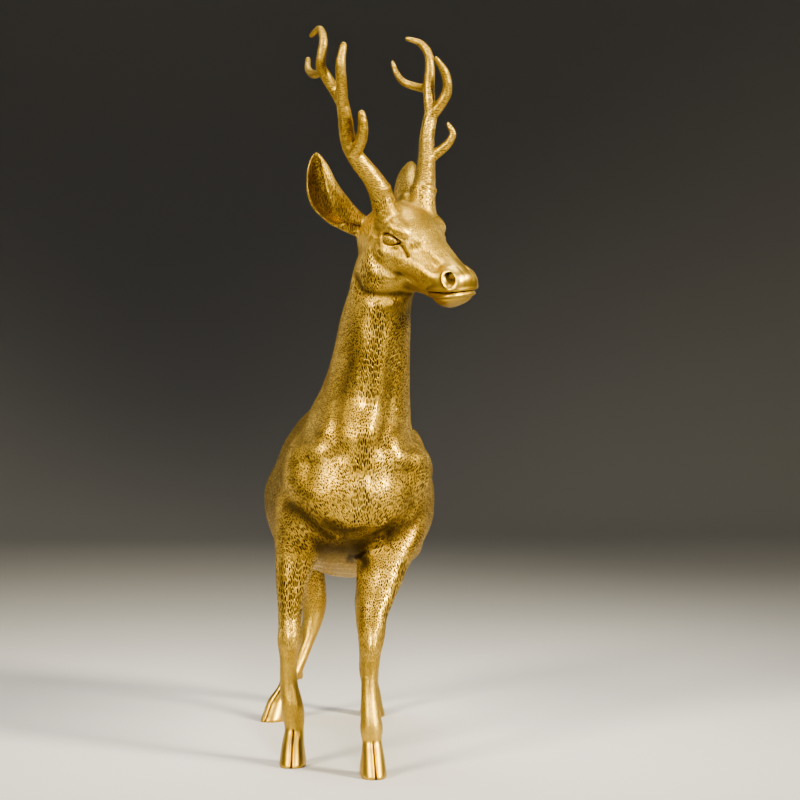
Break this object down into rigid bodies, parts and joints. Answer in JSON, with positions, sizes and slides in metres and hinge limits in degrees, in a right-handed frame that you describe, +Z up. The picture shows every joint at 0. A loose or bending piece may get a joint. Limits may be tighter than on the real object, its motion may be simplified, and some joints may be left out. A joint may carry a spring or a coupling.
{
  "type": "deer figurine",
  "caption": "Cast brass stag standing on four hooves, head turned to its left, with branched antlers and a fur-textured coat.",
  "frame": {"origin": "middle of the bounding box at the soles of the hooves", "axes": "+Z up through the antlers; the stag's body points along -Y and its left side is at +X"},
  "size_m": [0.1046, 0.2416, 0.3789],
  "materials": {
    "brass": "satin cast brass, rubbed bright on high places and darkened brown in the fur strokes"
  },
  "bodies": {
    "root": {"deer": "brass"}
  },
  "joints": []
}
